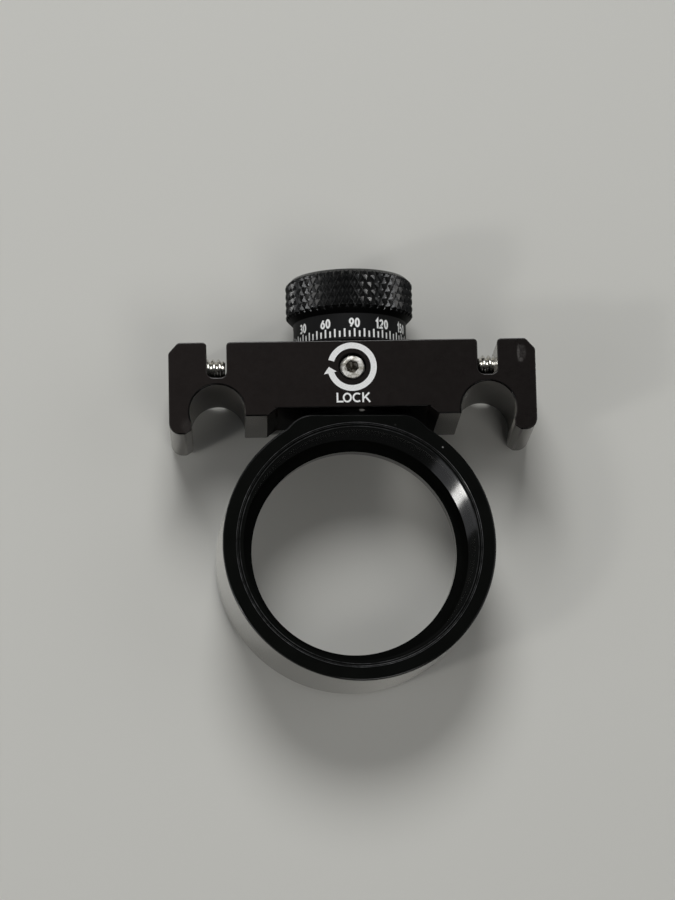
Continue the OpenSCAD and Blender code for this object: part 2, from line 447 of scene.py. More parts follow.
def plate_material(name, coat, sheen):
    m = Nodes(name)
    big = m.noise(260, 2)
    fine = m.noise(9000, 2, 0.6)
    col = m.ramp(big, [(0.3, (0.0122, 0.0094, 0.0086)), (0.7, (0.0150, 0.0117, 0.0108))])
    # rubbed patch on the right arm, a faint one on the left arm, dust specks
    wob = m.noise(2600, 3, 0.7)
    fleck = m.ramp(m.noise(5200, 2, 0.7), [(0.35, 0.35), (0.6, 1.0)])
    patch = m.math("MAXIMUM", m.spot((18.45, 21.15, TP), (0.15, 0.80, 1.2), 0.8, wob, 0.5),
                   m.math("MULTIPLY", m.spot((18.70, 20.42, TP), (0.24, 0.26, 1.2), 0.9, wob, 0.6), 0.9))
    patch = m.math("MAXIMUM", patch, m.math("MULTIPLY", m.spot((19.07, 21.1, TP), (0.2, 0.52, 1.2), 0.9, wob, 0.6), 0.42))
    patch = m.math("MAXIMUM", patch, m.math("MULTIPLY", m.spot((18.76, 21.85, TP), (0.4, 0.2, 1.2), 0.9, wob, 0.6), 0.42))
    patch = m.math("MAXIMUM", patch, m.math("MULTIPLY", m.spot((-18.41, 13.5, TP), (0.5, 0.7, 1.2), 0.9, wob, 0.7), 0.22))
    patch = m.math("MAXIMUM", patch, m.math("MULTIPLY", m.spot((0.42, 21.12, TP), (0.3, 0.16, 0.6), 0.8, wob, 0.9), 0.2))
    patch = m.math("MAXIMUM", patch, m.math("MULTIPLY", m.spot((18.72, 21.2, TP), (0.34, 0.66, 1.2), 0.9, wob, 0.5), 0.34))
    patch = m.math("MULTIPLY", patch, fleck)
    # painted shade: the face is drawn a little darker to the right, where less light reaches it
    right_shade_xyz = m.add("ShaderNodeSeparateXYZ")
    m.link(m.co, right_shade_xyz.inputs[0])
    col = m.mix(m.math("MULTIPLY", m.over(right_shade_xyz.outputs["X"], -20.0, 40.0), 0.42), col, (0.0, 0.0, 0.0))
    col = m.mix(m.math("MULTIPLY", patch, 0.34), col, (0.26, 0.245, 0.235))
    # painted highlight: a lighter band, broken by noise, along the rounding of the front and back edges
    s = m.add("ShaderNodeSeparateXYZ")
    m.link(m.co, s.inputs[0])
    az = m.math("ABSOLUTE", s.outputs["Z"])
    edge_highlight = m.math("MULTIPLY", m.band(az, TP - 0.062, 0.058, 0.01), m.ramp(m.noise(1500, 3, 0.7), [(0.3, 0.35), (0.7, 1.0)]))
    col = m.mix(edge_highlight, col, (0.058, 0.053, 0.05))
    # painted shade: edges that look down, or into a rod clip from its left, are drawn black
    n = m.add("ShaderNodeSeparateXYZ")
    m.link(m.add("ShaderNodeTexCoord").outputs["Normal"], n.inputs[0])
    clip = m.math("MULTIPLY", m.over(m.math("MULTIPLY", m.math("ABSOLUTE", s.outputs["X"]), -1.0), -18.4, 0.1), m.over(m.math("MULTIPLY", s.outputs["Y"], -1.0), -18.3, 0.2))
    down = m.math("SUBTRACT", m.math("MULTIPLY", m.math("MAXIMUM", n.outputs["X"], 0.0), m.math("MULTIPLY", clip, 0.7)), n.outputs["Y"])
    black = m.math("MULTIPLY", m.math("DIVIDE", m.math("SUBTRACT", down, 0.2), 0.25, clamp=True), m.over(az, TP - 0.13, 0.02))
    # painted shade too on the face right beside them: round the clips, at the arms' tips and along the lower edge
    ax = m.math("ABSOLUTE", s.outputs["X"])
    dx = m.math("SUBTRACT", s.outputs["X"], m.math("MULTIPLY", m.math("SIGN", s.outputs["X"]), ROD_X * MM))
    dy = m.math("SUBTRACT", s.outputs["Y"], ROD_Y * MM)
    far = m.math("SQRT", m.math("ADD", m.math("MULTIPLY", dx, dx), m.math("MULTIPLY", dy, dy)))
    up = m.math("DIVIDE", m.math("ADD", dy, m.math("MULTIPLY", m.math("MAXIMUM", m.math("MULTIPLY", dx, -1.0), 0.0), 0.7)), far)
    rim = m.math("MULTIPLY", m.band(far, CLIP_R + 0.09, 0.09, 0.05), m.math("DIVIDE", m.math("SUBTRACT", up, 0.2), 0.25, clamp=True))
    for x0, x1, y1 in ((17.2, 21.0, 12.52 + 0.16), (9.3, 12.3, 14.46 + 0.16), (-1.0, 8.6, 15.28 + 0.16)):
        low = m.math("MULTIPLY", m.band(ax, (x0 + x1) / 2, (x1 - x0) / 2, 0.05), m.over(m.math("MULTIPLY", s.outputs["Y"], -1.0), -y1 - 0.02, 0.05))
        rim = m.math("MAXIMUM", rim, low)
    black = m.math("MAXIMUM", black, m.math("MULTIPLY", rim, m.over(az, TP - 0.13, 0.02)))
    # painted shade: upright edges are drawn dark too
    upright = m.math("DIVIDE", m.math("SUBTRACT", m.math("ABSOLUTE", n.outputs["X"]), 0.3), 0.3, clamp=True)
    upright = m.math("MULTIPLY", m.math("MULTIPLY", upright, m.over(far, CLIP_R + 0.4, 0.1)), m.over(az, TP - 0.13, 0.02))
    black = m.math("MAXIMUM", black, m.math("MULTIPLY", upright, 0.75))
    # the relief's roof over the ring is drawn nearly black; the lock screw's countersink is drawn nearly black as
    # painted shade
    roof = m.math("MULTIPLY", m.over(m.math("MULTIPLY", ax, -1.0), -8.2, 0.3), m.over(m.math("MULTIPLY", s.outputs["Y"], -1.0), -15.38, 0.02))
    black = m.math("MAXIMUM", black, m.math("MAXIMUM", roof, m.spot((0, LOCK_Y, TP), (1.55, 1.55, 9), 0.05)))
    col = m.mix(black, col, (0.0015, 0.0014, 0.0013))
    m.link(col, m.b.inputs["Base Color"])
    m.set(Metallic=0.0, Roughness=0.5, Specular_IOR_Level=0.0, Coat_Weight=coat, Coat_Roughness=0.18, Coat_IOR=1.4)
    m.set(Sheen_Weight=sheen, Sheen_Roughness=0.3, Sheen_Tint=(1.0, 0.94, 0.82, 1))
    m.bump(fine, 0.25, 0.00003)
    return m.mat


def ring_material(name, coat, sheen):
    m = Nodes(name)
    big = m.noise(300, 2)
    fine = m.noise(7000, 2, 0.6)
    col = m.ramp(big, [(0.3, (0.0027, 0.0030, 0.0026)), (0.7, (0.0040, 0.0044, 0.0038))])
    wob = m.noise(4000, 2)
    for at, rad, k in (((9.80, 10.76), 0.18, 1.0), ((12.68, -4.1), 0.26, 0.25), ((-3.2, 12.05), 0.16, 0.12), ((4.6, 13.3), 0.14, 0.015)):
        s = m.spot((*at, RING_T / 2), (rad, rad * 0.85, 0.6), 0.6, wob, 0.4)
        col = m.mix(m.math("MULTIPLY", s, k), col, (0.7, 0.7, 0.68))
    # painted highlights: fine bright rings on both rims of the mouth's chamfer, and a bright band on the outline's
    # edge
    zt, rt = m.turned_zr()
    highlight_breakup = m.ramp(m.noise(1300, 3, 0.7), [(0.35, 0.25), (0.65, 1.0)])
    face = m.band(zt, RING_T / 2 - 0.02, 0.05, 0.01)
    highlight_lines = m.math("MULTIPLY", m.band(rt, 13.60, 0.025, 0.02), face)
    highlight_lines = m.math("MAXIMUM", highlight_lines, m.math("MULTIPLY", m.band(rt, 13.45, 0.025, 0.02), m.band(zt, RING_T / 2 - 0.16, 0.03, 0.02)))
    highlight_lines = m.math("MAXIMUM", highlight_lines, m.math("MULTIPLY", m.band(rt, 13.2, 0.035, 0.02), m.math("MULTIPLY", m.band(zt, RING_T / 2 - 0.27, 0.03, 0.02), 0.45)))
    edge = m.math("MULTIPLY", m.band(m.math("ABSOLUTE", zt), RING_T / 2 - 0.10, 0.07, 0.03), m.over(rt, 14.2, 0.1))
    highlight_lines = m.math("MULTIPLY", highlight_lines, m.ramp(m.noise(170, 2), [(0.35, 0.3), (0.62, 1.0)]))
    # the painted highlight on the outline's edge is full on the left, weaker on the right and absent across the top,
    # where less light reaches it
    s = m.add("ShaderNodeSeparateXYZ")
    m.link(m.co, s.inputs[0])
    side = m.math("MAXIMUM", m.over(m.math("MULTIPLY", s.outputs["X"], -1.0), 4.5, 3.0), m.math("MULTIPLY", m.over(s.outputs["X"], 4.5, 3.0), 0.4), )
    highlight_lines = m.math("MAXIMUM", highlight_lines, m.math("MULTIPLY", m.math("MULTIPLY", edge, side), 0.26))
    col = m.mix(m.math("MULTIPLY", highlight_lines, highlight_breakup), col, (0.15, 0.15, 0.155))
    m.link(col, m.b.inputs["Base Color"])
    m.set(Metallic=0.0, Roughness=0.2, Specular_IOR_Level=0.05, Coat_Weight=coat, Coat_Roughness=0.12, Coat_IOR=1.45)
    m.set(Sheen_Weight=sheen, Sheen_Roughness=0.3, Sheen_Tint=(1.0, 0.96, 0.86, 1))
    m.bump(fine, 0.04, 0.00002)
    return m.mat


def knob_material(name, low, high, rough, spec):
    m = Nodes(name)
    fine = m.noise(5000, 2, 0.6)
    col = m.ramp(m.noise(400, 2), [(0.3, low), (0.7, high)])
    m.link(col, m.b.inputs["Base Color"])
    m.set(Metallic=0.0, Roughness=rough, Specular_IOR_Level=spec, Coat_Weight=0.0)
    m.bump(fine, 0.15, 0.00002)
    return m.mat


def finish(o, mat, test):
    """Gives the faces that pass the test another finish: test(centre in mm, normal)."""
    o.data.materials.append(mat)
    for p in o.data.polygons:
        if test(p.center / MM, p.normal):
            p.material_index = len(o.data.materials) - 1


def steel_material(name="screw_steel", base=(0.72, 0.70, 0.65), rough=0.33):
    """Bright steel; the lock screw's end has painted highlights, and painted shade with brown mottling round and down
    in its socket.
    """
    m = Nodes(name)
    n = m.noise(3500, 3, 0.6)
    col = m.ramp(n, [(0.3, tuple(c * 0.72 for c in base)), (0.62, base)])
    if name == "lock_steel":
        s = m.add("ShaderNodeSeparateXYZ")
        m.link(m.co, s.inputs[0])
        # painted shade in the socket, broken by brown mottling: darker with depth below the end
        deep = m.add("ShaderNodeMapRange")
        for k, v in (("From Min", (TP - 0.30) * MM), ("From Max", (TP - 0.17) * MM), ("To Min", 1.0), ("To Max", 0.0)):
            deep.inputs[k].default_value = v
        m.link(s.outputs["Z"], deep.inputs["Value"])
        near = m.spot((0, LOCK_Y, TP), (0.78, 0.78, 9), 0.12)
        socket_shade = m.math("MULTIPLY", m.math("MULTIPLY", deep.outputs["Result"], near), m.ramp(m.noise(1700, 3, 0.7), [(0.42, 0.9), (0.58, 0.05)]))
        # blotched end, with painted highlights low on the left and high on the right, and painted shade round the
        # socket's mouth
        wob = m.noise(2600, 3, 0.7)
        painted_highlights = m.math("MAXIMUM", m.spot((0.70, LOCK_Y + 0.60, TP), (0.42, 0.36, 9), 0.7, wob, 0.4), m.spot((-0.80, LOCK_Y - 0.72, TP), (0.62, 0.36, 9), 0.7, wob, 0.4))
        blotch = m.math("MULTIPLY", m.ramp(m.noise(2100, 3, 0.75), [(0.40, 0.05), (0.60, 0.75)]), m.math("SUBTRACT", 1.0, painted_highlights))
        col = m.mix(blotch, col, (0.27, 0.245, 0.18))
        socket_mouth_shade = m.math("MULTIPLY", m.spot((-0.15, LOCK_Y + 0.05, TP), (0.86, 0.76, 9), 0.3, wob, 0.4), m.ramp(m.noise(2900, 3, 0.8), [(0.38, 0.95), (0.62, 0.25)]))
        col = m.mix(m.math("MULTIPLY", socket_mouth_shade, 0.9), col, (0.04, 0.03, 0.013))
        col = m.mix(socket_shade, col, (0.040, 0.029, 0.014))
    else:
        # painted shade on the lower threads of the clip screws, broken by noise
        s = m.add("ShaderNodeSeparateXYZ")
        m.link(m.co, s.inputs[0])
        lower_side_shade = m.math("MULTIPLY", m.over(m.math("MULTIPLY", s.outputs["Y"], -1.0), -CLIP_Y + 0.25, 0.35), m.ramp(m.noise(1500, 3, 0.7), [(0.35, 0.75), (0.6, 1.0)]))
        col = m.mix(m.math("MULTIPLY", lower_side_shade, 0.9), col, (0.02, 0.017, 0.012))
    m.link(col, m.b.inputs["Base Color"])
    m.link(m.ramp(m.noise(5200, 2), [(0.3, rough * 0.8), (0.7, rough * 1.35)]), m.b.inputs["Roughness"])
    m.set(Metallic=0.5 if name == "lock_steel" else 1.0)
    m.bump(m.noise(9000, 2), 0.25, 0.00002)
    return m.mat


def plain_material(name, base, rough, metallic=0.0, spec=0.5, fleck=None):
    m = Nodes(name)
    n = m.noise(2500, 2)
    col = m.ramp(n, [(0.3, tuple(c * 0.88 for c in base)), (0.7, base)])
    # fleck paints a small light spot: a painted glint
    if fleck:
        col = m.mix(m.spot(*fleck, 0.7), col, (0.38, 0.37, 0.35))
    m.link(col, m.b.inputs["Base Color"])
    m.set(Metallic=metallic, Roughness=rough, Specular_IOR_Level=spec)
    m.bump(m.noise(7000, 2), 0.1, 0.00002)
    return m.mat


def white_material():
    m = Nodes("mark_white")
    n = m.noise(6000, 3, 0.6)
    m.link(m.ramp(n, [(0.25, (0.72, 0.72, 0.7)), (0.5, (0.9, 0.9, 0.885))]), m.b.inputs["Base Color"])
    m.set(Roughness=0.55)
    return m.mat


M_PLATE = plate_material("plate_black", 1.0, 0.2)
# a copy with less gloss, which keeps dark the relief over the ring, the lock screw's countersink and the edges drawn
# black as painted shade
M_PLATE_DULL = plate_material("plate_black_dull", 0.12, 0.0)      # the relief over the ring, and dark edges
M_RING = ring_material("ring_black", 1.0, 0.22)
M_RING_IN = ring_material("ring_black_inside", 1.0, 0.04)         # the faces and the bore
M_RING_DULL = ring_material("ring_black_dull", 0.03, 0.0)         # the boss
M_KNOB = knob_material("knob_black", (0.0020, 0.0020, 0.0021), (0.0036, 0.0037, 0.0038), 0.27, 0.6)
M_DIAL = knob_material("knob_black_dial", (0.0095, 0.0096, 0.0098), (0.0116, 0.0117, 0.0119), 0.55, 0.10)
# a darker copy of the knob's finish for the cone under the grip: painted shade
M_CONE_SHADE = knob_material("knob_black_cone_shade", (0.0010, 0.0010, 0.0010), (0.0018, 0.0018, 0.0018), 0.5, 0.05)
M_STEEL, M_LOCK, M_WHITE = steel_material(rough=0.2), steel_material("lock_steel", (0.92, 0.9, 0.85), 0.42), white_material()
M_OXIDE = plain_material("cap_screw_black", (0.03, 0.03, 0.032), 0.32, 0.6)
M_BRASS = plain_material("tip_brass", (0.62, 0.43, 0.16), 0.35, 1.0)
# the thrust washer is drawn nearly black, with a painted glint on its rim
M_WASHER = plain_material("washer_black", (0.0022, 0.0022, 0.0022), 0.6, spec=0.05, fleck=((0.98, 15.14, 5.6), (0.27, 0.13, 1.2)))
M_SPRING = plain_material("spring_steel", (0.45, 0.44, 0.42), 0.38, 1.0)

# ---------------------------------------------------------------- clip plate
half, so, si = HALF_W, HALF_W - 4.22, HALF_W - 6.42
sy, tip, blk, rel = TOP - 4.0, ROD_Y - 2.48, ROD_Y - 0.54, ROD_Y + 0.28
arm_in = ROD_X + CLIP_R * 0.927
y_arm = ROD_Y - math.sqrt(CLIP_R ** 2 - (arm_in - ROD_X) ** 2)
x_blk = ROD_X - math.sqrt(CLIP_R ** 2 - (ROD_Y - blk) ** 2)
a_arm, a_blk = math.atan2(y_arm - ROD_Y, arm_in - ROD_X), pi + math.asin((ROD_Y - blk) / CLIP_R)
upper = [[si, TOP, .45], [si, sy, .75], [so, sy, .75], [so, TOP, .45], [half - 1.08, TOP, .6],
         [half, TOP - 1.2, .6], [half, tip, 1.3], [half - 1.75, tip, .5], [arm_in, tip + .52, .35]]
lower = [[x_blk, blk, .14], [9.45, blk, .25], [8.45, rel, .5]]


def half_path(n=9):
    """Right half of the plate's outline, with the round clip let into it."""
    pts = []
    seq = upper + [[arm_in, y_arm, 0]]
    for i, q in enumerate(upper):
        p = [-si, TOP] if i == 0 else seq[i - 1]
        pts += corner(p, q, seq[i + 1], q[2], n)
    arc = [np.array([ROD_X + CLIP_R * math.cos(a), ROD_Y + CLIP_R * math.sin(a)])
           for a in np.linspace(a_arm, a_blk, 97)]
    pts += arc[:-2]
    # the clip's wall meets the block's underside at a small broken corner
    seq = [list(arc[-3])] + lower + [[-8.45, rel]]
    for i, q in enumerate(lower):
        pts += corner(seq[i], q, seq[i + 2], q[2], n)
    return np.array(pts)


right = half_path()
path = tidy(np.vstack([right, (right * [-1, 1])[::-1]]))
plate = slab("plate_body", path, -TP, TP, 0.125, [M_PLATE], steps=4)
cutters = [
    revolve("c1", [(0, 3.0), (1.44, 3.0), (1.44, TP - 0.06), (1.6, TP + 0.1), (0, TP + 0.1)], n=64, at=(0, LOCK_Y, 0)),
    revolve("c2", [(0, rel - 1), (3.04, rel - 1), (3.04, TOP + 1), (0, TOP + 1)], n=96, axis="y"),
    revolve("c3", [(0, so - 0.5), (1.44, so - 0.5), (1.44, half - 0.12), (1.66, half + 0.1), (0, half + 0.1)], n=64, axis="x", at=(0, CLIP_Y, 0)),
    revolve("c4", [(0, so - 0.5), (1.44, so - 0.5), (1.44, half - 0.12), (1.66, half + 0.1), (0, half + 0.1)], n=64, axis="-x", at=(0, CLIP_Y, 0)),
]
cut(plate, cutters)
plate.data.polygons.foreach_set("use_smooth", [True] * len(plate.data.polygons))
plate.data.set_sharp_from_angle(angle=math.radians(48))


# faces that get the less glossy copy: the relief's walls over the ring, the lock screw's countersink, and edges that
# look down or sideways, which carry painted shade
def plate_dull(c, n):
    if abs(n.z) < 0.5 and c.y < 15.36 and abs(c.x) < 9.46 or abs(n.z) < 0.97 and math.hypot(c.x, c.y - LOCK_Y) < 1.56:
        return True
    if abs(c.z) < TP - 0.13 or abs(n.z) > 0.97:
        return False
    clip = abs(c.x) < 18.35 and c.y < 18.25
    return -n.y + (0.7 * n.x if clip and n.x > 0 else 0) > 0.3 or (not clip and abs(n.x) > 0.45)


finish(plate, M_PLATE_DULL, plate_dull)
weighted(plate)
ride(plate, "plate")
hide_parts("clip_plate")

# ---------------------------------------------------------------- optic ring
# each shoulder's slope, y = c0 - |x|, leaves the ring's circle at xs
c0 = BOSS_Y + 6.25
xs = (c0 - math.sqrt(2 * RING_R ** 2 - c0 ** 2)) / 2
start = math.atan2(c0 - xs, -xs)
arc = np.array([[RING_R * math.cos(a), RING_R * math.sin(a)] for a in np.linspace(start, 3 * pi - start, 193)])
shoulder = np.array(corner([-10.25, 10.5], [-6.25, BOSS_Y], [6.25, BOSS_Y], 3.3, 14))
rpath = tidy(np.vstack([arc, shoulder * [-1, 1], shoulder[::-1]]))
ring = slab("ring_body", rpath, -RING_T / 2, RING_T / 2, 0.21, [M_RING], steps=4)
RF = RING_T / 2
cut(ring, [revolve("c5", [(0, -7.2), (13.9, -7.2), (12.9, -6.2), (12.9, -LIP_T), (CLEAR_R + 0.12, -LIP_T),
                          (CLEAR_R, -LIP_T + 0.12), (CLEAR_R, -0.1), (CLEAR_R + 0.1, 0), (13.6, 0), (13.6, 7.2), (0, 7.2)], n=240)])
ring.data.polygons.foreach_set("use_smooth", [True] * len(ring.data.polygons))
ring.data.set_sharp_from_angle(angle=math.radians(40))
# the mouth: a small bevel and a step down to the thread's first turn
ZT = RF - 0.27
MOUTH = [(13.6, RF), (13.57, RF - 0.02), (13.46, RF - 0.14), (13.44, RF - 0.18), (13.41, ZT + 0.01), (13.22, ZT), (0, ZT)]
start = [THREAD_R - 0.34 * min(max((abs((ZT / PITCH - i / 288 + 1e-9) % 1.0 - 0.5) * 2 - 0.12) / 0.72, 0), 1) for i in range(288)]
lead = new_mesh("ring_mouth", [((r or start[i]) * math.cos(2 * pi * i / 288), (r or start[i]) * math.sin(2 * pi * i / 288), z) for r, z in MOUTH for i in range(288)],
                [(k * 288 + i, k * 288 + (i + 1) % 288, (k + 1) * 288 + (i + 1) % 288, (k + 1) * 288 + i)
                 for k in range(len(MOUTH) - 1) for i in range(288)], [M_RING_IN])
finish(ring, M_RING_IN, lambda c, n: math.hypot(c.x, c.y) < 13.9 or abs(n.z) > 0.99)
finish(ring, M_RING_DULL, lambda c, n: abs(n.z) < 0.99 and (c.y > 9 and math.hypot(c.x, c.y) > 14.3 or c.y > 14.2))
bm = bmesh.new()
bm.from_mesh(lead.data)
for f in bm.faces:
    if f.normal.z < 0:
        f.normal_flip()
bm.to_mesh(lead.data)
bm.free()
bore = thread("ring_thread", THREAD_R - 0.34, THREAD_R, 0.0, ZT, [M_RING_IN], n=288, m=4, inside=True, ends=0)
for o in (ring, bore, lead):
    turned(o)
ring = join([ring, bore, lead], "ring_body")
post = revolve("ring_post", [(0, BOSS_Y - 0.6), (3.0, BOSS_Y - 0.6), (3.0, KNOB_TOP - 4.85), (2.75, KNOB_TOP - 4.6),
                             (1.45, KNOB_TOP - 4.6), (1.45, KNOB_TOP - 11.8), (0, KNOB_TOP - 11.8)], [M_RING_DULL], n=96, axis="y")
box = new_mesh("c6", [(x, y, z) for x in (-4, 4) for y in (TOP + 1.2, KNOB_TOP) for z in (-5, -2.1)],
               [(0, 1, 3, 2), (4, 6, 7, 5), (0, 4, 5, 1), (2, 3, 7, 6), (0, 2, 6, 4), (1, 5, 7, 3)])
outward(box)
cut(post, [box])
turned(post)
ring = join([ring, post], "ring_body")
ring.data.polygons.foreach_set("use_smooth", [True] * len(ring.data.polygons))
ring.data.set_sharp_from_angle(angle=math.radians(40))
weighted(ring)
ride(ring, "rotor")
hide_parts("optic_ring")

# ---------------------------------------------------------------- knob
NK = 48                       # diamonds round the rim
SUB = 10                      # mesh steps a diamond
CELL = 1.69                   # height of a diamond
DEPTH = 0.36
NECK_Y = TOP + 3.1
CONE_Y = NECK_Y + 0.84


def rim(y):
    if y < CONE_Y:
        return NECK_R + (y - NECK_Y) * (KNOB_R - NECK_R) / 0.84
    return min(KNOB_R, KNOB_R - (y - (KNOB_TOP - 0.6)))


def knurl(a, y):
    u = NK * a / (2 * pi)
    w = (y - CONE_Y) / CELL
    d = []
    for s in (u + w, u - w):
        f = s % 1.0
        d.append(min(f, 1 - f))
    h = min(min(d), 0.42) / 0.42
    return KNOB_R - DEPTH * (1 - h)


cols = NK * SUB
ys = [NECK_Y] + [NECK_Y + 0.84 * i / 8 for i in range(1, 8)]
y = CONE_Y
while y < KNOB_TOP - 1e-6:
    ys.append(y)
    y += CELL / SUB / 2
ys.append(KNOB_TOP)
ys = np.array(ys)
V, F = [], []
for y in ys:
    for i in range(cols):
        a = 2 * pi * i / cols
        r = min(rim(y), knurl(a, y))
        V.append((r * math.sin(a), y, r * math.cos(a)))
rows = len(ys)
for j in range(rows - 1):
    for i in range(cols):
        q = (i + 1) % cols
        A, B, C, D = j * cols + i, j * cols + q, (j + 1) * cols + q, (j + 1) * cols + i
        # split each cell along the groove that crosses it
        ym, am = (ys[j] + ys[j + 1]) / 2, 2 * pi * (i + 0.5) / cols
        u, w = NK * am / (2 * pi), (ym - CONE_Y) / CELL
        d1 = min((u + w) % 1, 1 - (u + w) % 1)
        d2 = min((u - w) % 1, 1 - (u - w) % 1)
        if d1 < d2:
            F += [(A, B, D), (B, C, D)]
        else:
            F += [(A, B, C), (A, C, D)]
grip = new_mesh("knob_grip", V, F, [M_KNOB], smooth=True)
inner = revolve("knob_inner", [(6.55, KNOB_TOP), (2.75, KNOB_TOP), (2.6, KNOB_TOP - 0.15), (2.6, KNOB_TOP - 3.7), (1.55, KNOB_TOP - 3.7),
                               (1.55, KNOB_TOP - 4.6), (3.02, KNOB_TOP - 4.6), (3.02, TOP + 0.6), (5.2, TOP + 0.6), (5.2, TOP + 0.1),
                               (NECK_R - 0.1, TOP + 0.1), (NECK_R - 0.03, TOP + 0.13), (NECK_R, TOP + 0.2), (NECK_R, NECK_Y)],
                [M_KNOB], n=cols, axis="y")
knob = join([grip, inner], "knob_body")
outward(knob)
finish(knob, M_DIAL, lambda c, n: c.y < NECK_Y)
# the cone under the grip gets the darker copy, as painted shade
finish(knob, M_CONE_SHADE, lambda c, n: NECK_Y < c.y < CONE_Y and n.y < -0.3 and math.hypot(c.x, c.z) > NECK_R)
turned(knob)
knob.data.polygons.foreach_set("use_smooth", [True] * len(knob.data.polygons))
knob.data.set_sharp_from_angle(angle=math.radians(18))
weighted(knob)
ride(knob, "rotor")
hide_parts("knob")


# ---------------------------------------------------------------- scale and marks
def wrap(points, lift=0.0):
    """Lays flat points (along the scale, up the neck) on the knob's neck."""
    p = np.asarray(points, float)
    r = NECK_R + 0.006 + lift
    a = p[:, 0] / NECK_R
    return np.c_[r * np.sin(a), p[:, 1], r * np.cos(a)]


V, F = [], []
for k in range(72):
    mid = k * 5 * pi / 180 * NECK_R
    up = 1.36 if k % 2 == 0 else 1.12
    w = 0.098
    base = len(V)
    for x in (-w, 0, w):
        V += [(mid + x, TOP + 0.42), (mid + x, TOP + up)]
    F += [(base, base + 2, base + 3, base + 1), (base + 2, base + 4, base + 5, base + 3)]
ticks = new_mesh("scale_ticks", wrap(V), F, [M_WHITE])

# digits as strokes on a unit cell, x 0..1 wide, y 0..1 high
def bow(cx, cy, rx, ry, a0, a1, n=14):
    return [(cx + rx * math.cos(math.radians(a0 + (a1 - a0) * i / n)), cy + ry * math.sin(math.radians(a0 + (a1 - a0) * i / n))) for i in range(n + 1)]


GLYPHS = {
    "0": [bow(.5, .5, .5, .5, 90, 450, 32)],
    "1": [[(-.75, .74), (.7, 1.04), (.7, -.12)]],
    "2": [bow(.5, .72, .47, .28, 165, -28, 16) + [(.04, 0), (1, 0)]],
    "3": [bow(.45, .755, .46, .245, 150, -90, 16) + bow(.45, .255, .52, .255, 90, -150, 16)[1:]],
    "4": [[(.72, 0), (.72, 1), (.02, .27), (1.02, .27)]],
    "5": [[(.92, 1), (.2, 1), (.13, .56)] + bow(.45, .31, .52, .31, 110, -150, 16)],
    "6": [[(.78, 1), (.3, .66)] + bow(.5, .32, .5, .32, 150, 510, 28)],
    "7": [[(.02, 1), (.98, 1), (.4, 0)]],
    "8": [bow(.5, .76, .42, .24, 270, -90, 24), bow(.5, .26, .5, .26, 90, -270, 24)],
    "9": [[(.22, 0), (.7, .34)] + bow(.5, .68, .5, .32, -30, 330, 28)],
}


def stroke(pts, w):
    """A flat ribbon of width w along a line, mitred at its corners."""
    p = np.array(pts, float)
    closed = np.linalg.norm(p[0] - p[-1]) < 1e-6
    if closed:
        p = p[:-1]
    n = len(p)
    L, R = [], []
    for i in range(n):
        d = []
        if i > 0 or closed:
            d.append(unit(p[i] - p[i - 1]))
        if i < n - 1 or closed:
            d.append(unit(p[(i + 1) % n] - p[i]))
        nn = [np.array([-q[1], q[0]]) for q in d]
        m = sum(nn)
        m = m / max(m @ m, 0.35) * len(nn) if len(nn) == 2 else nn[0]
        L.append(p[i] + m * w / 2)
        R.append(p[i] - m * w / 2)
    v = L + R
    f = [(i, n + i, n + (i + 1) % n, (i + 1) % n) for i in range(n if closed else n - 1)]
    return v, f


def lettering(name, items, w, place, mats):
    """Strokes as ribbons. Each lies a hair above the one before, so that crossings stay clean."""
    V, F = [], []
    for lift, pts in enumerate(items):
        v, f = stroke(pts, w)
        k = len(V)
        V += [tuple(q) for q in place(np.array(v), 0.0015 * (lift % 3))]
        F += [tuple(k + i for i in q) for q in f]
    return new_mesh(name, V, F, mats)


DH, DW, GAP, SW = 0.87, 0.38, 0.26, 0.215
items = []
for n in range(12):
    text = str((n * 30 + 90) % 360)
    wide = [0.14 if ch == "1" else DW for ch in text]
    x0 = n * 30 * pi / 180 * NECK_R - (sum(wide) + (len(text) - 1) * GAP) / 2
    for k, ch in enumerate(text):
        for line in GLYPHS[ch]:
            items.append([(x0 + sum(wide[:k]) + k * GAP + x * wide[k], TOP + 1.57 + y * DH) for x, y in line])
numbers = lettering("scale_numbers", items, SW, wrap, [M_WHITE])
marks = join([ticks, numbers], "scale_marks")
turned(marks, TURN - math.radians(0.75))
ride(marks, "rotor")

# turning arrow round the lock screw and the word under it
AX, AY = -0.03, LOCK_Y - 0.055
V, F = [], []
ro, ri = 2.73, 2.07
n = 90
for i in range(n + 1):
    a = math.radians(163 - (163 + 163.5) * i / n)
    V += [(AX + ri * math.cos(a), AY + ri * math.sin(a)), (AX + ro * math.cos(a), AY + ro * math.sin(a))]
F += [(2 * i, 2 * i + 1, 2 * i + 3, 2 * i + 2) for i in range(n)]
k = len(V)
for rad, deg in ((2.58, 179.6), (3.24, 194.6), (2.79, 195.4), (2.73, 196.6), (2.07, 196.4), (1.80, 196.6)):
    a = math.radians(deg)
    V.append((AX + rad * math.cos(a), AY + rad * math.sin(a)))
F.append((k, k + 1, k + 2, k + 3, k + 4, k + 5))
flat = lambda p, lift=0.0: np.c_[p, np.full(len(p), TP + 0.005 + lift)]
arrow = new_mesh("lock_arrow", flat(np.array(V)), F, [M_WHITE])
LH, LY, LW = 0.90, TOP - 6.90, 0.195
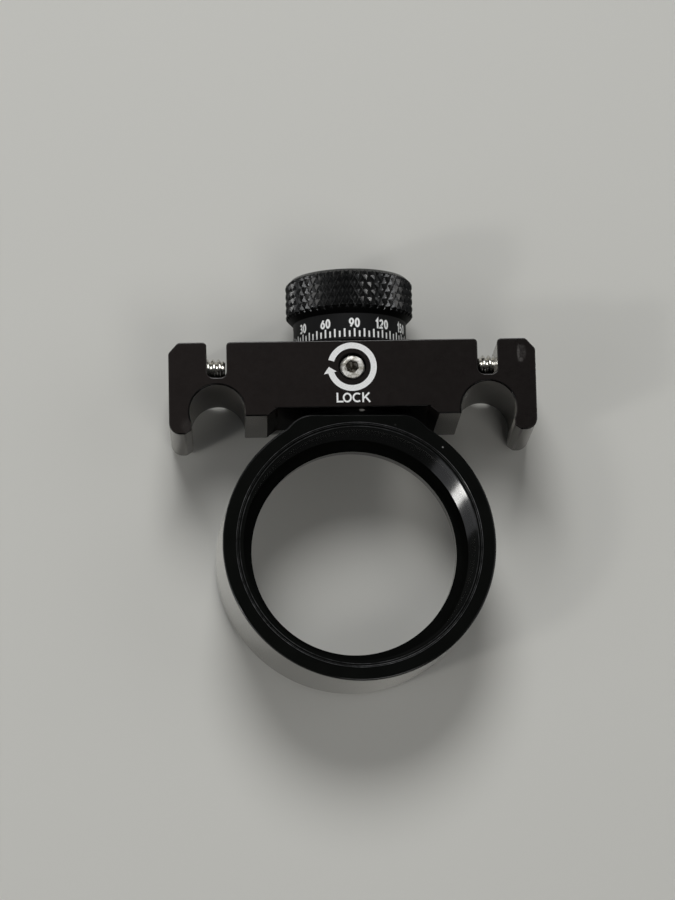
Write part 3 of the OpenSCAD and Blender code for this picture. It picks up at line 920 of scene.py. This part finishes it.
word = [
    [(-1.78, LY + LH + .09), (-1.78, LY - .015), (-1.07, LY - .015)],
    [(-0.61 + .43 * math.cos(t), LY + .427 + .452 * math.sin(t)) for t in np.linspace(pi / 2, 5 * pi / 2, 40)],
    [(0.595 + .49 * math.cos(t), LY + .427 + .452 * math.sin(t)) for t in np.linspace(math.radians(51), math.radians(309), 32)],
    [(1.27, LY + LH + .09), (1.27, LY - .125)],
    [(1.35, LY + .34), (2.01, LY + LH + .06)],
    [(1.53, LY + .53), (2.09, LY - .10)],
]
word = lettering("lock_word", [[(x * 0.93 - 0.07, y) for x, y in w] for w in word], LW, flat, [M_WHITE])
mark = join([arrow, word], "lock_mark")
for o in (marks, mark):
    bm = bmesh.new()
    bm.from_mesh(o.data)
    for f in bm.faces:
        c = f.calc_center_median()
        out = f.normal.z if o is mark else f.normal.x * c.x + f.normal.z * c.z
        if out < 0:
            f.normal_flip()
    bm.to_mesh(o.data)
    bm.free()
ride(mark, "plate")


# ---------------------------------------------------------------- screws
def socket_cap(name, r_out, af, depth, z, mats, n=96, lip=1.07, axis=None):
    """End face of a screw with a hexagon socket, facing +Z at height z."""
    ang = np.arange(n) * 2 * pi / n
    hexr = af / 2 / np.cos((ang + pi / 6) % (pi / 3) - pi / 6)
    rings = [(np.full(n, r_out), z), (np.minimum(hexr * lip, r_out * 0.96), z), (hexr, z - 0.07 * af), (hexr * 0.99, z - depth), (hexr * 0.02, z - depth - 0.22 * af)]
    V, F = [], []
    for r, h in rings:
        V += list(zip(r * np.cos(ang), r * np.sin(ang), np.full(n, h)))
    for k in range(len(rings) - 1):
        F += [(k * n + i, k * n + (i + 1) % n, (k + 1) * n + (i + 1) % n, (k + 1) * n + i) for i in range(n)]
    F.append([(len(rings) - 1) * n + i for i in range(n)])
    return new_mesh(name, V, F, mats, sharp=30)


def set_screw(name, length, tip_c=0.45, top_c=0.2, af=1.27, r=1.4, spin=0.0, mats=(M_STEEL,), crown=False):
    """A set-screw from z = 0 (nose) to z = length (socket end)."""
    def limit(z):
        d = length - z
        if crown and d < 0.34:      # turned, rounded end
            end = np.interp(d, [0, 0.005, 0.018, 0.040, 0.08, 0.16, 0.34], [0.86, 0.95, 1.08, 1.19, 1.27, 1.32, 1.34])
        else:
            end = r - top_c + d if d < top_c else 9
        return min(r - tip_c + max(z, 0) * 1.0 if z < tip_c else 9, end)
    body = thread("t", r, r - 0.33, 0.0, length, mats, n=96, m=10, ends=0.02, limit=limit)
    cap = socket_cap("s", r - top_c, af, 1.05, length, mats)
    nose = revolve("n", [(0, 0.16), (0.55, 0.16), (0.62, 0.0), (r - tip_c, 0.0)], mats, n=96)
    bm = bmesh.new()
    bm.from_mesh(nose.data)
    for f in bm.faces:
        if f.normal.z > 0:
            f.normal_flip()
    bm.to_mesh(nose.data)
    bm.free()
    o = join([body, cap, nose], name)
    bm = bmesh.new()
    bm.from_mesh(o.data)
    bmesh.ops.remove_doubles(bm, verts=bm.verts, dist=2e-7)
    bmesh.ops.recalc_face_normals(bm, faces=bm.faces)
    bm.to_mesh(o.data)
    bm.free()
    o.data.transform(Matrix.Rotation(spin, 4, "Z"))
    o.data.polygons.foreach_set("use_smooth", [True] * len(o.data.polygons))
    o.data.set_sharp_from_angle(angle=math.radians(32))
    return o


def put(o, rot, at):
    o.data.transform(Matrix.Translation(Vector(at) * MM) @ rot)
    return o


SL = 5.95
left = set_screw("clip_screw_left_body", SL, spin=0.4)
put(left, Matrix.Rotation(-pi / 2, 4, "Y"), (-si - 0.16, CLIP_Y, 0))
ride(left, "left_pinch")
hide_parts("clip_screw_left")
rightc = set_screw("clip_screw_right_body", SL, spin=1.3)
put(rightc, Matrix.Rotation(pi / 2, 4, "Y"), (si + 0.34, CLIP_Y, 0))
ride(rightc, "right_pinch")
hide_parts("clip_screw_right")
lock = set_screw("lock_screw_body", 2.55, tip_c=0.3, top_c=0.54, spin=0.25, mats=(M_LOCK,), crown=True)
put(lock, Matrix.Identity(4), (0, LOCK_Y, TP - 0.12 - 2.55))
ride(lock, "lock")
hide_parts("lock_screw")

SEAT = KNOB_TOP - 3.7
hd = revolve("h", [(0, SEAT + 0.5 - 7.2), (1.1, SEAT + 0.5 - 7.2), (1.4, SEAT + 0.5 - 6.9), (1.4, SEAT + 0.5), (2.2, SEAT + 0.5), (2.32, SEAT + 0.6),
                   (2.32, SEAT + 0.5 + 2.5), (2.24, SEAT + 0.5 + 2.66), (2.02, SEAT + 0.5 + 2.8)], [M_OXIDE], n=96, axis="y")
hc = socket_cap("hc", 2.02, 2.38, 1.4, SEAT + 0.5 + 2.8, [M_OXIDE])
hc.data.transform(Matrix.Rotation(-pi / 2, 4, "X"))
cap = join([hd, hc], "knob_screw_body")
outward(cap)
cap.data.polygons.foreach_set("use_smooth", [True] * len(cap.data.polygons))
cap.data.set_sharp_from_angle(angle=math.radians(30))
turned(cap)
ride(cap, "rotor")
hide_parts("knob_screw")

for node, mat in (("thrust_washer", M_WASHER), ("disc_spring", M_SPRING), ("knob_washer", M_STEEL), ("lock_tip", M_BRASS)):
    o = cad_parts[node]
    for i in range(max(1, len(o.material_slots))):
        if o.material_slots:
            o.material_slots[i].material = mat
        else:
            o.data.materials.append(mat)

# ---------------------------------------------------------------- floor, light, camera
floor_z = cad_lo.z - 0.00002
fm = Nodes("floor_pale")
fm.set(Base_Color=(0.68, 0.672, 0.63, 1), Roughness=0.6, Specular_IOR_Level=0.3)
bpy.ops.mesh.primitive_plane_add(size=6, location=(0, 0, floor_z))
floor = bpy.context.object
floor.name = "floor"
floor.data.materials.append(fm.mat)

world = bpy.data.worlds.new("studio")
bpy.context.scene.world = world
world.use_nodes = True
wt = world.node_tree
bg = wt.nodes["Background"]
bg.inputs["Color"].default_value = (0.95, 0.98, 1.0, 1)
wz = wt.nodes.new("ShaderNodeSeparateXYZ")
wt.links.new(wt.nodes.new("ShaderNodeTexCoord").outputs["Generated"], wz.inputs[0])
wr = wt.nodes.new("ShaderNodeMapRange")
wr.interpolation_type = "SMOOTHSTEP"
for k, v in (("From Min", 0.5), ("From Max", 0.93), ("To Min", 0.075), ("To Max", 0.02)):
    wr.inputs[k].default_value = v
wt.links.new(wz.outputs["Z"], wr.inputs["Value"])
wt.links.new(wr.outputs["Result"], bg.inputs["Strength"])


def area(name, loc, target, size, power, color=(1, 1, 1)):
    d = bpy.data.lights.new(name, "AREA")
    d.shape, d.size, d.energy, d.color = "DISK", size, power, color
    o = bpy.data.objects.new(name, d)
    bpy.context.scene.collection.objects.link(o)
    o.location = loc
    o.rotation_mode = "QUATERNION"
    o.rotation_quaternion = (Vector(target) - Vector(loc)).to_track_quat("-Z", "Y")
    return o


area("key", (-0.46, -0.19, 0.37), (0, 0, 0), 0.44, 0.40, (0.95, 0.965, 1.0))
area("core", (-0.415, -0.173, 0.353), (0, 0, 0), 0.07, 0.34, (1.0, 0.99, 0.96))
area("top", (-0.05, 0.47, 0.55), (0, 0, 0), 0.34, 2.75, (0.98, 0.99, 1.0))
area("side", (0.50, 0.05, 0.42), (0, 0, 0), 0.50, 0.35, (0.98, 0.99, 1.0))
area("front", (0.18, -0.33, 0.60), (0, 0, 0), 0.30, 0.6, (1.0, 0.99, 0.97))

cam_data = bpy.data.cameras.new("camera")
cam = bpy.data.objects.new("camera", cam_data)
bpy.context.scene.collection.objects.link(cam)
bpy.context.scene.camera = cam
cam_data.sensor_fit = "AUTO"
cam_data.sensor_width = 36.0
CAM_LENS, CAM_SX, CAM_SY = 133.19170, -0.0232932, 0.12
CAM_C = (-13.43524613, -57.90070721, 366.52708781)
CAM_M = ((0.999161094338, 0.016781281270, -0.037356340287),
         (-0.022363207379, 0.987751568858, -0.154423849109),
         (0.034307353678, 0.155129709653, 0.987298221748))
cam_data.lens, cam_data.shift_x, cam_data.shift_y = CAM_LENS, CAM_SX, CAM_SY
cam.matrix_world = Matrix.Translation(Vector(CAM_C) * MM) @ Matrix(CAM_M).to_4x4()
cam_data.clip_start, cam_data.clip_end = 0.01, 20
bpy.context.view_layer.update()

sc = bpy.context.scene
sc.view_settings.view_transform = "Standard"
sc.view_settings.look = "None"
